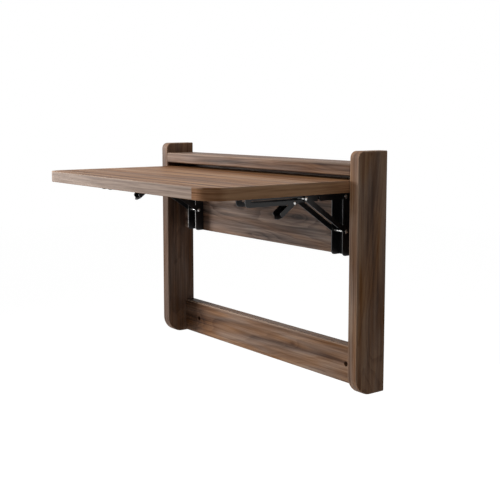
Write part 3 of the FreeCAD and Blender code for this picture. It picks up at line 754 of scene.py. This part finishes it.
bpy.ops.object.duplicate()
other_spring = bpy.context.object
edit_all()
bpy.ops.transform.translate(value=(-2 * bracket_x, 0, 0))
bpy.ops.object.mode_set(mode="OBJECT")
hand_over(spring, "right_lever_coil_spring", "leaf", "bright_steel", "right_lever_spring")
hand_over(other_spring, "left_lever_coil_spring", "leaf", "bright_steel", "left_lever_spring")
print("springs", spring.name, other_spring.name)

# %% [markdown]
# ## The screws
# Round-headed wood screws hold the legs to the rail and the arms to the leaf. A screw is turned, so it
# grows from one disc: the lower face is drawn down and in, step by step, to a dome, and the upper face is
# set in and drawn up in narrow and wide rings, which read as its thread.

# %% Write down how a screw is turned
HEAD_RADIUS = 3.75 * MM
HEAD_SIDES = 32
RIM = 0.5 * MM
DOME_STEPS = ((0.50, 0.94), (0.42, 0.86), (0.28, 0.70), (0.14, 0.50))
THREAD_PITCH = 1.4 * MM
THREAD_DEPTH = 0.82
TIP_LENGTH, TIP_SCALE = 2.2 * MM, 0.1
FLAT = 0.9


def draw_out(rise, scale):
    bpy.ops.mesh.extrude_region_move(TRANSFORM_OT_translate={"value": (0, 0, rise)})
    bpy.ops.transform.resize(value=(scale, scale, 1))


def turn_screw(shank_radius, shank_length):
    bpy.ops.object.select_all(action="DESELECT")
    bpy.ops.mesh.primitive_cylinder_add(
        vertices=HEAD_SIDES, radius=HEAD_RADIUS, depth=RIM, location=(0, 0, -RIM / 2))
    screw = bpy.context.object
    apply_place()
    pick(screw, "FACE", lambda face: face.normal.z < -FLAT)
    for drop, scale in DOME_STEPS:
        draw_out(-drop * MM, scale)
    pick(screw, "FACE", lambda face: face.normal.z > FLAT)
    bpy.ops.mesh.inset(thickness=HEAD_RADIUS - shank_radius)
    for ring in range(int((shank_length - TIP_LENGTH) / THREAD_PITCH)):
        draw_out(THREAD_PITCH / 2, THREAD_DEPTH)
        draw_out(THREAD_PITCH / 2, 1 / THREAD_DEPTH)
    draw_out(TIP_LENGTH, TIP_SCALE)
    bpy.ops.object.mode_set(mode="OBJECT")
    return screw


print("dome steps", len(DOME_STEPS))

# %% [markdown]
# The leg lies against the rail and the arm against the leaf, so a screw's head sits one sheet's thickness
# off the faces of their boxes. From there to the far end of the solid screws is the room for a shank.

# %% Turn the two kinds of screw
SHEET = 1.8 * MM
ARM_SHANK, LEG_SHANK = 1.85 * MM, 1.95 * MM
SHANK_ROOM = 0.1 * MM

leg_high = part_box("right_wall_leg")[1]
arm_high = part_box("right_table_arm")[1]
leg_face = leg_high[1] - SHEET
arm_face = arm_high[2] - SHEET
arm_screw = turn_screw(ARM_SHANK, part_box("right_arm_screws")[1][2] - arm_face - SHANK_ROOM)
leg_screw = turn_screw(LEG_SHANK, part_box("right_leg_screws")[1][1] - leg_face - SHANK_ROOM)
print("screw lengths", [round(screw.dimensions.z / MM, 1) for screw in (arm_screw, leg_screw)])

# %% [markdown]
# A tapered bar leaves the cross for the driver: a Boolean modifier cuts it out of the dome, once along and
# once across.

# %% Cut the driver's cross
CROSS_LENGTH, CROSS_WIDTH, CROSS_DEPTH = 4.0 * MM, 0.8 * MM, 1.1 * MM
CROSS_TAPER = 0.62
HEAD_HEIGHT = RIM + sum(drop for drop, scale in DOME_STEPS) * MM
SCREW_CREASE = 30


def cut_slot(screw, quarter_turn):
    bpy.ops.object.select_all(action="DESELECT")
    bpy.ops.mesh.primitive_cube_add(size=1, location=(0, 0, -HEAD_HEIGHT),
                                    rotation=(0, 0, quarter_turn * math.pi / 2))
    cutter = bpy.context.object
    cutter.scale = (CROSS_LENGTH, CROSS_WIDTH, 2 * CROSS_DEPTH)
    apply_place()
    pick(cutter, "FACE", lambda face: face.normal.z > FLAT)
    bpy.ops.transform.resize(value=(CROSS_TAPER, CROSS_TAPER, 1))
    bpy.ops.object.mode_set(mode="OBJECT")
    cut = screw.modifiers.new("cross", "BOOLEAN")
    cut.operation = "DIFFERENCE"
    cut.solver = "EXACT"
    cut.object = cutter
    bpy.context.view_layer.objects.active = screw
    bpy.ops.object.modifier_apply(modifier="cross")
    bpy.ops.object.delete()
    screw.select_set(True)
    bpy.ops.object.shade_smooth_by_angle(angle=math.radians(SCREW_CREASE))


for screw in (arm_screw, leg_screw):
    cut_slot(screw, 0)
    cut_slot(screw, 1)
    print("screw faces", len(screw.data.polygons))

# %% [markdown]
# Each bracket has three screws in its leg, which point into the rail, and three in its arm, which point up
# into the leaf. Every screw is a copy with its own mesh, turned a little from its neighbours as a driver
# leaves them. The three of one place are joined, and their place goes into the mesh. They are measured down
# from the top of the leg, and out from the end of the arm at the rail.

# %% Drive the screws
LEG_SCREWS_DOWN = (39.2 * MM, 61.6 * MM, 126.0 * MM)
ARM_SCREWS_OUT = (41.0 * MM, 103.0 * MM, 243.0 * MM)
DRIVER_TURNS = (12, 47, 71)


def drive(screw, name, places, lean, body, node):
    copies = []
    for place, turn in zip(places, DRIVER_TURNS):
        bpy.ops.object.select_all(action="DESELECT")
        screw.select_set(True)
        bpy.context.view_layer.objects.active = screw
        bpy.ops.object.duplicate()
        copy = bpy.context.object
        copy.rotation_euler = (0, 0, math.radians(turn))
        apply_place()
        copy.rotation_euler = (lean, 0, 0)
        copy.location = place
        apply_place()
        copies.append(copy)
    for copy in copies:
        copy.select_set(True)
    bpy.ops.object.join()
    hand_over(bpy.context.object, name, body, "screw_steel", node)


for side, x in (("left", -bracket_x), ("right", bracket_x)):
    leg_places = [(x, leg_face, leg_high[2] - down) for down in LEG_SCREWS_DOWN]
    arm_places = [(x, arm_high[1] - out, arm_face) for out in ARM_SCREWS_OUT]
    drive(leg_screw, side + "_leg_cross_screws", leg_places,
          math.radians(-90), "frame", side + "_leg_screws")
    drive(arm_screw, side + "_arm_cross_screws", arm_places,
          0, "leaf", side + "_arm_screws")
bpy.ops.object.select_all(action="DESELECT")
for screw in (arm_screw, leg_screw):
    screw.select_set(True)
bpy.ops.object.delete()

# %% [markdown]
# ## The room
# One wide lamp stands in front on the left, and a weaker one hangs overhead, so the table's right-hand
# faces stay dark as in the photograph. A third stands low behind the table, where it lights the backs of
# the boards and nothing that the photograph shows. An area lamp shines down its own Z axis, so it is turned
# until its light points at its target.

# %% Hang the lamps
bpy.context.scene.view_settings.view_transform = "Standard"


def add_lamp(name, place, target, size, power):
    bpy.ops.object.select_all(action="DESELECT")
    bpy.ops.object.light_add(type="AREA", location=place)
    lamp = bpy.context.object
    lamp.name = name
    lamp.data.shape = "RECTANGLE"
    lamp.data.size, lamp.data.size_y = size
    lamp.data.energy = power
    way = [goal - start for goal, start in zip(target, place)]
    tilt = math.atan2(math.hypot(way[0], way[1]), -way[2])
    lamp.rotation_euler = (tilt, 0, math.atan2(-way[0], way[1]))
    print(name, power)


add_lamp("front_left_lamp", place=(-1.95, -1.30, 0.62), target=(0.0, -0.10, 0.05),
         size=(0.8, 1.2), power=66)
add_lamp("overhead_lamp", place=(-0.15, -0.75, 1.9), target=(0.0, -0.2, 0.1),
         size=(1.4, 1.2), power=20)
add_lamp("rear_lamp", place=(-0.40, 2.20, -0.42), target=(0.0, 0.0, 0.0),
         size=(1.2, 0.4), power=22)

# %% [markdown]
# A pale floor lies well below the table. The camera, mirrors and glass see it white, which is chosen by the
# kind of ray that asks. The floor keeps a small share of its plain shading for those rays too, so the
# table's shadow still lies on it. From below the floor is clear, so that the brackets can be looked at from
# there.

# %% Lay the floor
FLOOR_MIDDLE = (0.0, -1.0, -0.80)
FLOOR_SIZE = 14
FLOOR_PAINT = (0.70, 0.70, 0.69, 1)
FLOOR_ROUGH = 0.8
FLOOR_GLOW = 1.13
FLOOR_SHARE = 0.86


def seen_directly(tree):
    rays = tree.nodes.new("ShaderNodeLightPath")
    seen = Wire(rays.outputs["Is Camera Ray"])
    for kind in ("Is Glossy Ray", "Is Transmission Ray"):
        seen = seen.math("MAXIMUM", Wire(rays.outputs[kind]))
    return seen


bpy.ops.object.select_all(action="DESELECT")
bpy.ops.mesh.primitive_plane_add(size=FLOOR_SIZE, location=FLOOR_MIDDLE)
floor = bpy.context.object
floor.name = "floor"
floor_finish, floor_shader = new_finish("pale_floor")[:2]
floor_shader.inputs["Base Color"].default_value = FLOOR_PAINT
floor_shader.inputs["Roughness"].default_value = FLOOR_ROUGH
paint = Wire(floor_shader.outputs[0])
seen = seen_directly(floor_finish.node_tree)
glow = seen.node("ShaderNodeEmission", {}, {"Color": grey(1), "Strength": FLOOR_GLOW})
lit = seen.node("ShaderNodeMixShader", {}, {0: seen * FLOOR_SHARE, 1: paint, 2: glow})
underneath = seen.node("ShaderNodeNewGeometry", {}, {}, output="Backfacing")
clear = seen.node("ShaderNodeBsdfTransparent", {}, {})
lit = seen.node("ShaderNodeMixShader", {}, {0: underneath, 1: lit, 2: clear})
plug(lit, floor_finish.node_tree.nodes["Material Output"].inputs["Surface"])
floor.data.materials.append(floor_finish)
print("floor at", FLOOR_MIDDLE)

# %% [markdown]
# The air around the table is white too. The same kinds of ray see it at full strength, but the table is lit
# by much less of it.

# %% Fill the air
AMBIENT = 0.14

world = bpy.data.worlds.new("white_air")
world.use_nodes = True
bpy.context.scene.world = world
air = world.node_tree.nodes["Background"]
air.inputs["Color"].default_value = grey(1)
plug(seen_directly(world.node_tree) * (1 - AMBIENT) + AMBIENT, air.inputs["Strength"])
print("ambient", AMBIENT)
